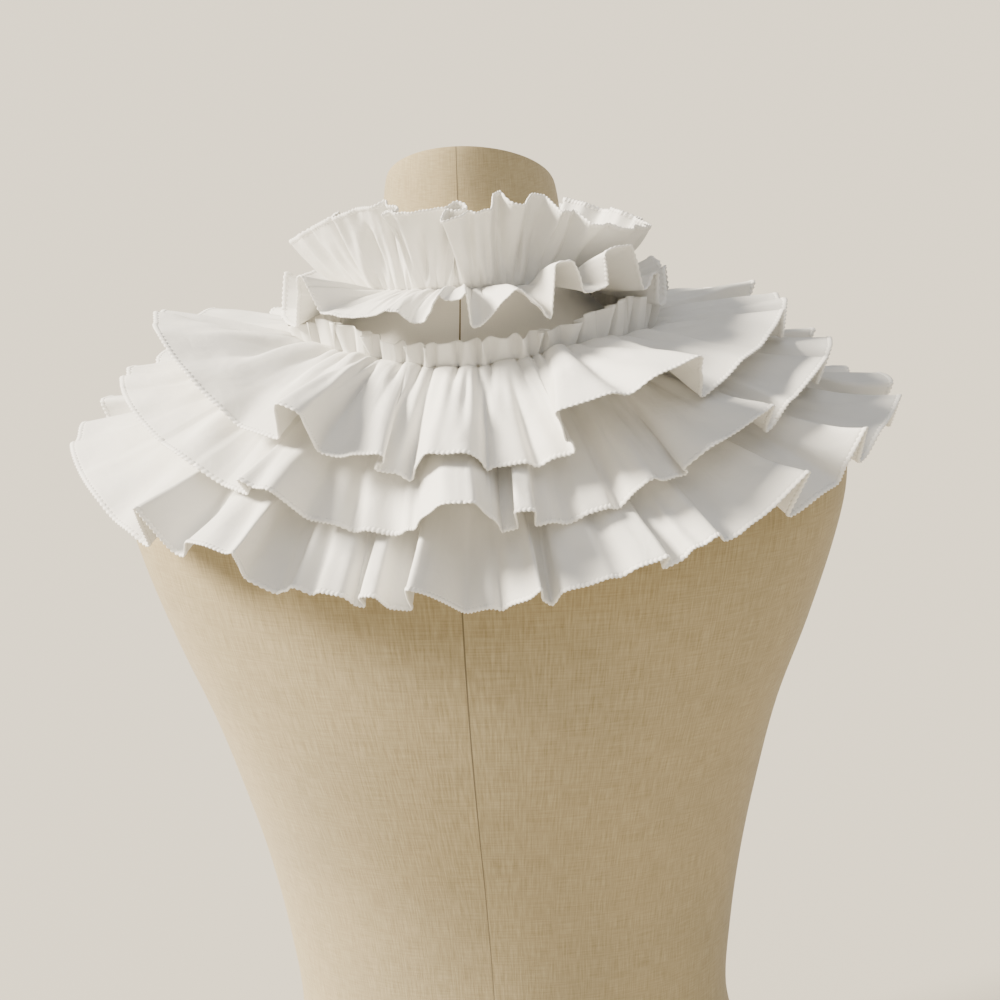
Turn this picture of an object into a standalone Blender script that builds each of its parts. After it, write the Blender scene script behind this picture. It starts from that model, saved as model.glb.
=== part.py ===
"""A white cotton ruffled collar in two parts on a linen-covered dress form.

The choker is one strip of cloth gathered onto narrow elastic, with a tall frill
above the elastic and a short one below it. The capelet has three gathered tiers
under a narrow gathered neck frill. The form is a limbless torso with a neck that
leans forward, and it stands on its own flat underside.

+Z is up, the back of the form faces -Y, and the origin is the middle of the
underside. Lengths in the tables are millimetres and angles are degrees. A turn is
an angle about the neck, 0 at the centre back and growing towards +X.
"""

import math
from collections import namedtuple

import bmesh
import bpy

MM = 0.001

# The levels of the gathering lines above the surface that the form stands on.
COLLAR_LEVEL = 520.0
CHOKER_RISE = 27.0

# The capelet's gathered neck is an oval that swells upwards on each side of the spine.
# The swell dies away over its reach down the cloth. The choker's elastic is a circle.
NECK_HALF_WIDTH = 95.0
NECK_HALF_DEPTH = 76.0
NECK_SWELL = 6.0
SWELL_REACH = 140.0
CHOKER_RADIUS = 60.0
CHOKER_FORWARD = 8.0
CHOKER_TILT = 10.0

CLOTH = 1.0
TIER_STEP = 1.8
SEAM_GAP = 0.4
CORNER_RADIUS = 6.0
WIDEST_STEP = 12.0
SPREAD_POWER = 1.4

NECK_FRILL_HEIGHT = 14.0
NECK_FRILL_PLEATS = 48
NECK_FRILL_DEPTH = 2.6
NECK_FRILL_LEAN = 2.0
COLUMNS_PER_PLEAT = 4

FORM_SEGMENTS = 44

# How a cloth strip leaves its gathering line: the slopes are degrees below the
# horizontal at the gathers and at the hem, for the back, the sides and the front.
# Fullness is the power by which the folds grow from the gathers to the hem, and
# side_extra is the added length over the shoulders. Turning is the power by which
# the slopes change from the back and the front to the sides.
Strip = namedtuple("Strip", "length back side front fullness side_extra turning")

TIER_STRIPS = {
    "capelet_top_tier": Strip(73, (20, 38), (-4, 8), (18, 34), 1.0, 0, 1.4),
    "capelet_middle_tier": Strip(96, (33, 50), (4, 20), (30, 48), 1.8, 0, 1.4),
    "capelet_bottom_tier": Strip(126, (54, 54), (25, 17), (52, 52), 2.0, 13, 2.6),
}
CHOKER_UPPER = Strip(53, (-78, -60), (-26, -82), (-64, -56), 0.8, 0, 1.4)
CHOKER_LOWER = Strip(42, (5, 35), (20, -6), (-14, 8), 1.2, 5, 1.4)

# One row for each fold of a hem. The cloth rises from the floor at one turn, its
# flat top runs from start to end, and it falls to the floor again at the last turn.
# A fall before the end, or a rise after the start, is a fold that overhangs.
Fold = namedtuple("Fold", "rise start end fall lift_start lift_end floor")

TOP_TIER_FOLDS = [
    Fold(-94, -87, -62, -41, 25, 38, 4),
    Fold(-32, -27, -23, -24, 38, 38, 2),
    Fold(-19, -16, -10.5, -14, 6, 13, -5),
    Fold(-7, -3, 4, 8.5, 13, 12, -2),
    Fold(23.5, 18, 45, 48.5, 34, 38, 5),
    Fold(52, 58, 78, 83, 16, 23, 2),
    Fold(87, 92, 106, 110, 17, 18, 0),
    Fold(120, 118, 136, 138, 26, 22, 0),
    Fold(146, 152, 158, 164, 16, 18, 0),
    Fold(172, 168, 186, 189, 24, 26, 0),
    Fold(196, 200, 212, 209, 20, 26, 0),
    Fold(219, 224, 231, 236, 22, 20, 0),
    Fold(243, 247, 258, 261, 20, 18, 0),
]

MIDDLE_TIER_FOLDS = [
    Fold(-94, -90, -74, -40, 12, 26, 6),
    Fold(-35, -36, -28, -26, 30, 22, -4),
    Fold(-9, 0, 5, 9.5, 31, 35, -4),
    Fold(12, 11, 14.5, 15, 18, 18, -2.5),
    Fold(30, 32.5, 34, 37, 18, 16, 5),
    Fold(41, 39, 55, 58, 20, 32, 8),
    Fold(60, 61, 75, 77, 24, 25, 4),
    Fold(83, 86, 98, 101, 15, 16, 0),
    Fold(108, 106, 118, 121, 20, 16, 0),
    Fold(130, 133, 139, 143, 18, 18, 0),
    Fold(150, 148, 160, 159, 16, 20, 0),
    Fold(168, 172, 176, 181, 18, 18, 0),
    Fold(188, 186, 198, 200, 20, 16, 0),
    Fold(209, 213, 219, 217, 18, 20, 0),
    Fold(227, 231, 241, 245, 16, 20, 0),
    Fold(251, 253, 260, 263, 18, 16, 0),
]

BOTTOM_TIER_FOLDS = [
    Fold(-97, -91, -74, -53, 12, 6, -9),
    Fold(-52, -47.5, -46.6, -45.9, 25, 8, -3),
    Fold(-43.9, -39.6, -30, -33.3, 19, 36, -1),
    Fold(-27, -25.3, -17, -16.2, 8, 10, -4),
    Fold(-15, -14.5, -11.5, -11, 10, 15, -3),
    Fold(-7.5, -5.5, -2.7, 2, 32, 22, -1),
    Fold(8, 13, 14.3, 15, 7, 16, 0),
    Fold(17.2, 17.7, 33.1, 32.7, 9, 20, 5),
    Fold(35.9, 36.2, 39.4, 41.5, 13, 21, 5),
    Fold(43.8, 45, 53, 52.3, 11, 28, 3),
    Fold(62.5, 62.5, 65, 66.9, 13, 33, 4),
    Fold(69.5, 72, 84, 88, 14, 22, 0),
    Fold(98, 96, 104, 105, 18, 17, -1),
    Fold(111, 114, 119, 118, 17, 18, -1),
    Fold(126, 125, 133, 135, 13, 13, -1),
    Fold(141, 143, 148, 147, 15, 16, -1),
    Fold(155, 154, 161, 163, 16, 15, -1),
    Fold(169, 171, 176, 175, 15, 16, -1),
    Fold(184, 183, 190, 192, 16, 15, -1),
    Fold(199, 201, 206, 205, 15, 16, -1),
    Fold(213, 212, 219, 221, 16, 15, -1),
    Fold(227, 229, 234, 233, 15, 16, -1),
    Fold(240, 241, 248, 250, 16, 17, -1),
    Fold(256, 257, 261, 260.5, 17, 17, -1),
]

CHOKER_UPPER_FOLDS = [
    Fold(-94, -90, -78, -74, -8, -8, 2),
    Fold(-71, -67, -45, -41, -7, -8, 1),
    Fold(-37, -34, -30, -27, -9, -4, 2),
    Fold(-24.8, -23.6, -8.4, -6.4, -14, -7, 3),
    Fold(-3.9, -2.7, 9.5, 13.5, -16, -10, 6),
    Fold(17, 20.5, 25.5, 28.5, -7, -6, 8),
    Fold(33, 36, 43, 45, -12, -14, -3),
    Fold(49.5, 51, 66, 70, -12, -9, 0),
    Fold(76, 79, 90, 94, -7, -7, 2),
    Fold(102, 104, 114, 118, -7, -8, 0),
    Fold(124, 126, 136, 140, -8, -8, 0),
    Fold(148, 150, 160, 164, -9, -8, 0),
    Fold(171, 173, 183, 187, -8, -9, 0),
    Fold(194, 196, 206, 210, -9, -8, 0),
    Fold(217, 219, 229, 233, -8, -8, 0),
    Fold(240, 242, 252, 256, -8, -7, 0),
]

CHOKER_LOWER_FOLDS = [
    Fold(-97, -94, -87, -83, 11, 11, -4),
    Fold(-76, -68, -54, -46, 1, 4, 5),
    Fold(-38, -30, -18, -14, 9, 16, 7),
    Fold(-9, -6, -1.8, -0.8, 14, 25, 21),
    Fold(0, 1, 2.9, 4.3, 21, 22, 2),
    Fold(6.8, 16, 18, 28, 22, 22, 4),
    Fold(31, 28.5, 32.5, 37, 28, 27, 15),
    Fold(46, 42.5, 48.5, 66, 25, 24, 6),
    Fold(80, 82, 92, 97, 13, 12, -2),
    Fold(104, 106, 116, 120, 11, 12, 0),
    Fold(127, 129, 139, 143, 12, 13, 0),
    Fold(151, 153, 163, 167, 13, 12, 0),
    Fold(174, 176, 186, 190, 12, 13, 0),
    Fold(197, 199, 209, 213, 13, 12, 0),
    Fold(220, 222, 232, 236, 11, 12, 0),
    Fold(242, 244, 254, 258, 12, 11, 0),
]

# The form's sections, from the underside up. Rise is the height of a section's middle
# above the capelet's gathering line, and forward is how far that middle lies from the
# neck's axis. Squareness is the superellipse power, and tilt lifts the back edge.
Section = namedtuple("Section", "rise half_width back front squareness tilt forward")

FORM_SECTIONS = [
    Section(-520, 150, 102, 98, 2.2, 0, 0),
    Section(-480, 150, 104, 100, 2.2, 0, 0),
    Section(-440, 136, 96, 94, 2.2, 0, 0),
    Section(-400, 127, 90, 90, 2.2, 0, 0),
    Section(-350, 131, 90, 92, 2.2, 0, 0),
    Section(-300, 139, 96, 102, 2.2, 0, 0),
    Section(-250, 150, 107, 120, 2.3, 0, 0),
    Section(-205, 162, 115, 128, 2.4, 0, 0),
    Section(-160, 179, 119, 124, 2.4, 0, 0),
    Section(-115, 194, 118, 114, 2.4, 0, 0),
    Section(-84, 201, 113, 106, 2.4, 0, 0),
    Section(-66, 199, 107, 100, 2.3, 0, 0),
    Section(-52, 187, 101, 96, 2.25, 0, 0),
    Section(-38, 166, 95, 91, 2.2, 0, 0),
    Section(-24, 137, 88, 86, 2.1, 0, 0),
    Section(-13, 111, 80, 80, 2.0, 0, 0),
    Section(-4.2, 94.2, 75.2, 75.2, 2.0, 0, 0),
    Section(6, 79, 69, 69, 2.0, 3, 3),
    Section(16, 67, 64, 64, 2.0, 6, 6),
    Section(27, 59.0, 59.0, 59.0, 2.0, 10, 8),
    Section(52, 51, 54, 54, 2.0, 15, 12),
    Section(79, 46.5, 52, 52, 2.0, 27, 18),
    Section(81, 44.5, 50, 50, 2.0, 28, 18),
]

CLOTH_COLOUR = (0.83, 0.83, 0.80, 1.0)
LINEN_COLOUR = (0.55, 0.48, 0.37, 1.0)


def clear_scene():
    for obj in list(bpy.data.objects):
        bpy.data.objects.remove(obj)


def make_material(name, colour, roughness):
    material = bpy.data.materials.new(name)
    material.use_nodes = True
    shader = material.node_tree.nodes["Principled BSDF"]
    shader.inputs["Base Color"].default_value = colour
    shader.inputs["Roughness"].default_value = roughness
    shader.inputs["Metallic"].default_value = 0.0
    return material


def add_object(name, bm, material):
    mesh = bpy.data.meshes.new(name)
    bm.to_mesh(mesh)
    bm.free()
    mesh.materials.append(material)
    mesh.shade_smooth()
    mesh.set_sharp_from_angle(angle=math.radians(50))
    obj = bpy.data.objects.new(name, mesh)
    bpy.context.scene.collection.objects.link(obj)
    return obj


def slopes_at(strip, turn):
    """The strip's slopes at the gathers and at the hem, in radians, at this turn."""
    toward_back = max(math.cos(turn), 0) ** strip.turning
    toward_front = max(-math.cos(turn), 0) ** strip.turning
    toward_side = 1 - toward_back - toward_front
    pair = []
    for back, side, front in zip(strip.back, strip.side, strip.front):
        pair.append(math.radians(toward_back * back + toward_side * side + toward_front * front))
    return pair


def cloth_point(strip, seam, turn, share, lift):
    """A point of a strip, share of the way from its gathers to its hem and lifted off
    its lowest surface. The strip leaves the seam along an arc, steeper at the hem."""
    first, last = slopes_at(strip, turn)
    length = strip.length + strip.side_extra * math.sin(turn) ** 2
    bend = (last - first) / length
    slope = first + (last - first) * share
    out = (math.sin(slope) - math.sin(first)) / bend + lift * math.sin(slope)
    drop = (math.cos(first) - math.cos(slope)) / bend - lift * math.cos(slope)
    x, y, z, swell = seam(turn)
    z += swell * (1 - share * length / SWELL_REACH) - drop
    return (x + math.sin(turn) * out, y - math.cos(turn) * out, z)


def capelet_seam(rise):
    """The capelet's gathering line and its swell, as a function of the turn."""

    def point(turn):
        x = NECK_HALF_WIDTH * math.sin(turn)
        y = -NECK_HALF_DEPTH * math.cos(turn)
        swell = NECK_SWELL * math.sin(2 * turn) ** 2 if math.cos(turn) > 0 else 0.0
        return (x, y, COLLAR_LEVEL + rise, swell)

    return point


def choker_seam(turn):
    """The choker's elastic line, which has no swell."""
    x = CHOKER_RADIUS * math.sin(turn)
    back = CHOKER_RADIUS * math.cos(turn)
    z = COLLAR_LEVEL + CHOKER_RISE + back * math.tan(math.radians(CHOKER_TILT))
    return (x, CHOKER_FORWARD - back, z, 0.0)


def fold_corners(folds):
    """The corners of a hem, as (turn in degrees, lift)."""
    corners = []
    floor = folds[-1].floor
    for fold in folds:
        corners.append((fold.rise, floor))
        corners.append((fold.start, fold.lift_start))
        corners.append((fold.end, fold.lift_end))
        corners.append((fold.fall, fold.floor))
        floor = fold.floor
    return corners


def rounded_hem(folds, radius_of_hem):
    """The hem with each corner cut into two points, as (distance along it, lift)."""
    per_degree = math.radians(radius_of_hem)
    corners = [(turn * per_degree, lift) for turn, lift in fold_corners(folds)]
    full = 360 * per_degree
    first = (corners[0][0] + full, corners[0][1])
    last = (corners[-1][0] - full, corners[-1][1])
    hem = []
    for before, corner, after in zip([last] + corners, corners, corners[1:] + [first]):
        for other in (before, after):
            away = math.dist(corner, other)
            part = min(CORNER_RADIUS / 2, away * 0.4) / away
            along = corner[0] + (other[0] - corner[0]) * part
            lift = corner[1] + (other[1] - corner[1]) * part
            hem.append((along / per_degree, lift))
    return hem


def split_long_runs(hems, radius_of_hem):
    """Adds points along the long runs, at the same places in each of these hems."""
    per_degree = math.radians(radius_of_hem)
    split = [[] for _ in hems]
    count = len(hems[0])
    for i in range(count):
        pairs = []
        for hem in hems:
            turn, lift = hem[(i + 1) % count]
            pairs.append((hem[i], (turn + (360 if i == count - 1 else 0), lift)))
        runs = [math.hypot((b[0] - a[0]) * per_degree, b[1] - a[1]) for a, b in pairs]
        pieces = max(1, math.ceil(max(runs) / WIDEST_STEP))
        for k in range(pieces):
            t = k / pieces
            for rows, (a, b) in zip(split, pairs):
                rows.append((i, a[0] + (b[0] - a[0]) * t, a[1] + (b[1] - a[1]) * t))
    return split


def gather_turns(hem, folds, radius_of_hem):
    """Each hem point's turn on the gathering line. The cloth of each fold is spread
    evenly along its own share of that line."""
    per_degree = math.radians(radius_of_hem)
    bounds = []
    for i, fold in enumerate(folds):
        earlier = folds[i - 1].fall - (360 if i == 0 else 0)
        bounds.append((earlier + fold.rise) / 2)
    bounds.append(bounds[0] + 360)
    turns = []
    for number in range(len(folds)):
        members = [(turn, lift) for place, turn, lift in hem if place // 8 == number]
        low, high = bounds[number], bounds[number + 1]
        path = [(low, members[0][1])] + members + [(high, members[-1][1])]
        run = [0.0]
        for (turn_a, lift_a), (turn_b, lift_b) in zip(path, path[1:]):
            run.append(run[-1] + math.hypot((turn_b - turn_a) * per_degree, lift_b - lift_a))
        turns += [low + (high - low) * there / run[-1] for there in run[1:-1]]
    return turns


def hem_rows(strip_folds, seam_radius):
    """Rows of (gather turn, hem turn, lift) for one strip, or for two that share their
    gathers, given as pairs of a strip and its folds."""
    radius_of_hem = seam_radius + strip_folds[0][0].length * 0.9
    hems = [rounded_hem(folds, radius_of_hem) for strip, folds in strip_folds]
    hems = split_long_runs(hems, radius_of_hem)
    gathers = gather_turns(hems[0], strip_folds[0][1], radius_of_hem)
    tables = []
    for hem in hems:
        tables.append([(g, turn, lift) for g, (place, turn, lift) in zip(gathers, hem)])
    return tables


def strip_line(strip, seam, rows, seam_radius, share):
    """The strip's points at one share of its length, all the way round."""
    points = []
    hem_radius = seam_radius + strip.length
    here = seam_radius + strip.length * share
    for gather, hem, lift in rows:
        spread = (share * hem_radius / here) ** SPREAD_POWER
        turn = math.radians(gather + (hem - gather) * spread)
        points.append(cloth_point(strip, seam, turn, share, lift * share**strip.fullness))
    return points


def closed_wall(name, lines, material):
    """A ring-shaped cloth wall through these closed lines of points, in millimetres."""
    bm = bmesh.new()
    rings = []
    for line in lines:
        rings.append([bm.verts.new((x * MM, y * MM, z * MM)) for x, y, z in line])
    for lower, upper in zip(rings, rings[1:]):
        for i in range(len(lower)):
            j = (i + 1) % len(lower)
            bm.faces.new((lower[i], lower[j], upper[j], upper[i]))
    obj = add_object(name, bm, material)
    wall = obj.modifiers.new("Wall", "SOLIDIFY")
    wall.thickness = CLOTH * MM
    wall.offset = 0.0
    return obj


def make_tier(name, folds, place, shares, material):
    """One gathered tier of the capelet. Place counts down from the top one."""
    strip = TIER_STRIPS[name]
    seam = capelet_seam(-TIER_STEP * place)
    radius = (NECK_HALF_WIDTH + NECK_HALF_DEPTH) / 2
    rows, = hem_rows([(strip, folds)], radius)
    lines = [strip_line(strip, seam, rows, radius, share) for share in shares]
    return closed_wall(name, lines, material)


def make_choker(material):
    """One strip with a frill on each side of its elastic line."""
    pair = [(CHOKER_UPPER, CHOKER_UPPER_FOLDS), (CHOKER_LOWER, CHOKER_LOWER_FOLDS)]
    upper, lower = hem_rows(pair, CHOKER_RADIUS)
    lines = []
    for share in (1.0, 0.5):
        lines.append(strip_line(CHOKER_LOWER, choker_seam, lower, CHOKER_RADIUS, share))
    for share in (0.0, 0.5, 1.0):
        lines.append(strip_line(CHOKER_UPPER, choker_seam, upper, CHOKER_RADIUS, share))
    return closed_wall("choker_ruffle", lines, material)


def make_neck_frill(material):
    """The narrow frill that stands above the capelet's elastic, in small pleats."""
    columns = NECK_FRILL_PLEATS * COLUMNS_PER_PLEAT
    bottom = CLOTH / 2 + SEAM_GAP + 0.3
    lines = []
    for share in (0.0, 1.0):
        line = []
        for k in range(columns):
            turn = 2 * math.pi * k / columns
            phase = 2 * math.pi * (k + 0.5) / COLUMNS_PER_PLEAT
            uneven = 1 + 0.35 * math.sin(turn * 7 + 1.0)
            out = (NECK_FRILL_LEAN + NECK_FRILL_DEPTH * uneven * math.sin(phase)) * share
            height = bottom + share * (NECK_FRILL_HEIGHT + 1.2 * math.sin(turn * 11))
            x, y, z, swell = capelet_seam(height)(turn)
            line.append((x + math.sin(turn) * out, y - math.cos(turn) * out, z + swell))
        lines.append(line)
    return closed_wall("neck_frill", lines, material)


def section_line(section):
    """The closed outline of one of the form's sections."""
    line = []
    power = 2 / section.squareness
    tilt = math.tan(math.radians(section.tilt))
    for k in range(FORM_SEGMENTS):
        turn = 2 * math.pi * k / FORM_SEGMENTS
        s, c = math.sin(turn), math.cos(turn)
        depth = section.back if c > 0 else section.front
        x = section.half_width * math.copysign(abs(s) ** power, s)
        y = section.forward - depth * math.copysign(abs(c) ** power, c)
        z = COLLAR_LEVEL + section.rise + tilt * (section.forward - y)
        line.append((x, y, z))
    return line


def make_dress_form(material):
    """The limbless form, a closed loft through its sections."""
    bm = bmesh.new()
    rings = []
    for section in FORM_SECTIONS:
        ring = [bm.verts.new((x * MM, y * MM, z * MM)) for x, y, z in section_line(section)]
        rings.append(ring)
    for lower, upper in zip(rings, rings[1:]):
        for i in range(FORM_SEGMENTS):
            j = (i + 1) % FORM_SEGMENTS
            bm.faces.new((lower[i], lower[j], upper[j], upper[i]))
    bm.faces.new(list(reversed(rings[0])))
    bm.faces.new(rings[-1])
    return add_object("dress_form", bm, material)


def main():
    clear_scene()
    cotton = make_material("cotton poplin", CLOTH_COLOUR, 0.85)
    linen = make_material("linen", LINEN_COLOUR, 0.9)
    make_dress_form(linen)
    make_choker(cotton)
    make_neck_frill(cotton)
    make_tier("capelet_top_tier", TOP_TIER_FOLDS, 0, (0.0, 0.3, 0.65, 1.0), cotton)
    make_tier("capelet_middle_tier", MIDDLE_TIER_FOLDS, 1, (0.0, 0.33, 0.67, 1.0), cotton)
    make_tier("capelet_bottom_tier", BOTTOM_TIER_FOLDS, 2, (0.0, 0.3, 0.65, 1.0), cotton)


main()
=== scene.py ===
"""The dressed ruffled collar: fine cotton shells over the frame's cloth solids.

Lengths in the tables are millimetres and angles are degrees, as in the part. A turn
is an angle about the neck, 0 at the centre back and growing towards +X. A share is
how far a point lies from the gathers, 0, to the hem, 1.
"""

import math
from collections import namedtuple

import bmesh
import bpy
import numpy as np
from mathutils import Matrix, Vector


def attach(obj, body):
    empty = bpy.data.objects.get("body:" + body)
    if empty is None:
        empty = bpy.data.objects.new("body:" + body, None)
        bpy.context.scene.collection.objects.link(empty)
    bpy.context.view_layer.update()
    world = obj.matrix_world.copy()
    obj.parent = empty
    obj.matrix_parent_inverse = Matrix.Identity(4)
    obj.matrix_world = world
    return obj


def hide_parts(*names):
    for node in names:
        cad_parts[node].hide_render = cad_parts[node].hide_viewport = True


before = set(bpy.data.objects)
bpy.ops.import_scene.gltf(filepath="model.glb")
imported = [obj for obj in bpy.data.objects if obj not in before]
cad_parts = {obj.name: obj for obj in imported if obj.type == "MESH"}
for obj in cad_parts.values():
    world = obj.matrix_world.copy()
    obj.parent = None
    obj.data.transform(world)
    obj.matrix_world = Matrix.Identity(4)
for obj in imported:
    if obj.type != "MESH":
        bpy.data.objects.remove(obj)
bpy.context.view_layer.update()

MM = 0.001

# The capelet's gathering line is an oval round the neck's foot. At the back it swells up
# a little on each side of the spine, and the cloth below loses that swell over its reach.
COLLAR_LEVEL = 520.0
NECK_HALF_WIDTH = 95.0
NECK_HALF_DEPTH = 76.0
NECK_RADIUS = (NECK_HALF_WIDTH + NECK_HALF_DEPTH) / 2
NECK_SWELL = 6.0
SWELL_REACH = 140.0
TIER_STEP = 1.8

# The choker's elastic is a tilted ring round the neck.
CHOKER_RISE = 27.0
CHOKER_RADIUS = 60.0
CHOKER_FORWARD = 8.0
CHOKER_TILT = 10.0

# How soon a fold turns from its place on the gathers to its place on the hem.
SPREAD_POWER = 1.4

# Pressed cotton poplin with its finish is about 0.4 mm thick. Its folds are round, less
# so on the choker, where they are smaller.
POPLIN_THICKNESS = 0.4
TIER_ROUNDING = 3.6
CHOKER_ROUNDING = 2.6
ROUNDING_STEPS = 7
MATCHED_STEPS = 4000

# The folded hems are longer than the straight strips that were cut, because a strip
# here widens on its way out. The neck frill is pleated from 1.6 times its ring.
FRILL_RUN_PART = 1.8

# The overlock is a flat band of thread over the raw edge, with a rib to each stitch.
# The sizes are half-widths and half-thicknesses, without and with the rib.
STITCH_PITCH = 2.4
THREAD_STEP = 0.6
THREAD_SIDES = 8
EDGE_INWARD = 0.75
EDGE_WIDTH = 1.35
EDGE_WIDTH_RIB = 0.38
EDGE_THICKNESS = 0.5
EDGE_THICKNESS_RIB = 0.2

# The neck frill's pleats stand out by its depth from an inset foot. Its valleys' width
# and the sway of its pleats are degrees about the neck.
NECK_FRILL_HEIGHT = 14.0
NECK_FRILL_BOTTOM = POPLIN_THICKNESS / 2 + 0.4
NECK_FRILL_LEAN = 2.0
NECK_FRILL_DEPTH = 8.0
NECK_FRILL_INSET = 2.4
NECK_FRILL_VALLEY = 0.95
NECK_FRILL_SWAY = 3.0

# At the right of the neck the frill stands taller.
FRILL_PEAK = 8.0
FRILL_PEAK_TURN = 74.0
FRILL_PEAK_SPREAD = 22.0

# A strip's slopes are degrees below level, at the gathers and at the hem. Fullness says
# how late the folds open, side_extra is added length at the sides, and turning is how
# quickly the back's slopes give way to the side's.
Strip = namedtuple("Strip", "length back side front fullness side_extra turning")

TOP_TIER = Strip(73, (20, 38), (-4, 8), (18, 34), 1.0, 0, 1.4)
MIDDLE_TIER = Strip(96, (33, 50), (4, 20), (30, 48), 1.8, 0, 1.4)
BOTTOM_TIER = Strip(126, (54, 54), (25, 17), (52, 52), 2.0, 13, 2.6)
CHOKER_UPPER = Strip(53, (-78, -60), (-22, -68), (-64, -56), 0.8, -7, 1.4)
CHOKER_LOWER = Strip(42, (5, 35), (20, -6), (-14, 8), 1.2, 5, 1.4)

# One row for each fold of a hem: the cloth rises at one turn, its crest runs from
# start to end, and it falls to its floor again at the last turn.
Fold = namedtuple("Fold", "rise start end fall lift_start lift_end floor")

TOP_TIER_FOLDS = [
    Fold(-94, -87, -62, -41, 25, 38, 4),
    Fold(-32, -27, -23, -24, 38, 38, 2),
    Fold(-19, -16, -10.5, -14, 6, 13, -5),
    Fold(-7, -3, 4, 8.5, 13, 12, -2),
    Fold(23.5, 18, 45, 48.5, 34, 38, 5),
    Fold(52, 58, 78, 83, 16, 23, 2),
    Fold(87, 92, 106, 110, 17, 18, 0),
    Fold(120, 118, 136, 138, 26, 22, 0),
    Fold(146, 152, 158, 164, 16, 18, 0),
    Fold(172, 168, 186, 189, 24, 26, 0),
    Fold(196, 200, 212, 209, 20, 26, 0),
    Fold(219, 224, 231, 236, 22, 20, 0),
    Fold(243, 247, 258, 261, 20, 18, 0),
]

MIDDLE_TIER_FOLDS = [
    Fold(-94, -90, -74, -40, 12, 26, 6),
    Fold(-35.5, -34, -28, -26, 25, 22, -4),
    Fold(-9, 0, 5, 9.5, 31, 35, -4),
    Fold(12, 11, 14.5, 15, 18, 18, -2.5),
    Fold(30, 32.5, 34, 37, 18, 16, 5),
    Fold(41, 39, 55, 58, 20, 32, 8),
    Fold(60, 61, 75, 77, 24, 25, 4),
    Fold(83, 86, 98, 101, 15, 16, 0),
    Fold(108, 106, 118, 121, 20, 16, 0),
    Fold(130, 133, 139, 143, 18, 18, 0),
    Fold(150, 148, 160, 159, 16, 20, 0),
    Fold(168, 172, 176, 181, 18, 18, 0),
    Fold(188, 186, 198, 200, 20, 16, 0),
    Fold(209, 213, 219, 217, 18, 20, 0),
    Fold(227, 231, 241, 245, 16, 20, 0),
    Fold(251, 253, 260, 263, 18, 16, 0),
]

BOTTOM_TIER_FOLDS = [
    Fold(-97, -91, -74, -53, 12, 6, -9),
    Fold(-52, -47.5, -46.6, -45.9, 25, 8, -3),
    Fold(-43.9, -39.6, -30, -33.3, 19, 36, -1),
    Fold(-27, -25.3, -17, -16.2, 8, 10, -4),
    Fold(-15, -14.5, -11.5, -11, 10, 15, -3),
    Fold(-7.5, -5.5, -2.7, 2, 32, 22, -1),
    Fold(8, 13, 14.3, 15, 7, 16, 0),
    Fold(17.2, 17.7, 33.1, 32.7, 9, 20, 5),
    Fold(35.9, 36.2, 39.4, 41.5, 13, 21, 5),
    Fold(43.8, 45, 53, 52.3, 11, 28, 3),
    Fold(62.5, 62.5, 65, 66.9, 13, 33, 4),
    Fold(69.5, 72, 84, 88, 14, 22, 0),
    Fold(98, 96, 104, 105, 18, 17, -1),
    Fold(111, 114, 119, 118, 17, 18, -1),
    Fold(126, 125, 133, 135, 13, 13, -1),
    Fold(141, 143, 148, 147, 15, 16, -1),
    Fold(155, 154, 161, 163, 16, 15, -1),
    Fold(169, 171, 176, 175, 15, 16, -1),
    Fold(184, 183, 190, 192, 16, 15, -1),
    Fold(199, 201, 206, 205, 15, 16, -1),
    Fold(213, 212, 219, 221, 16, 15, -1),
    Fold(227, 229, 234, 233, 15, 16, -1),
    Fold(240, 241, 248, 250, 16, 17, -1),
    Fold(256, 257, 261, 260.5, 17, 17, -1),
]

CHOKER_UPPER_FOLDS = [
    Fold(-97, -93, -86, -80, -10, -9, -4),
    Fold(-74, -66, -56, -51, 1, 6, 3),
    Fold(-46, -40, -20, -18.4, 5, -1, -4.5),
    Fold(-23.2, -24.1, 5.8, 6.5, -10, -5, -8),
    Fold(-1.2, -2.1, 8, 12.5, -17, -13, -8),
    Fold(14.5, 17, 19, 21.5, 6, 4, -2),
    Fold(27.5, 32, 38.5, 39.3, 9, 10, -9),
    Fold(41.5, 44.5, 45.5, 46.5, -2, -2, -16),
    Fold(63, 67, 78, 82, -10, -9, -4),
    Fold(88, 91, 97, 100, -8, -7, 0),
    Fold(106, 108, 116, 119, -7, -8, 0),
    Fold(125, 127, 137, 140, -8, -8, 0),
    Fold(148, 150, 160, 164, -9, -8, 0),
    Fold(171, 173, 183, 187, -8, -9, 0),
    Fold(194, 196, 206, 210, -9, -8, 0),
    Fold(217, 219, 229, 233, -8, -8, 0),
    Fold(240, 242, 252, 256, -8, -7, 0),
]

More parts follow.
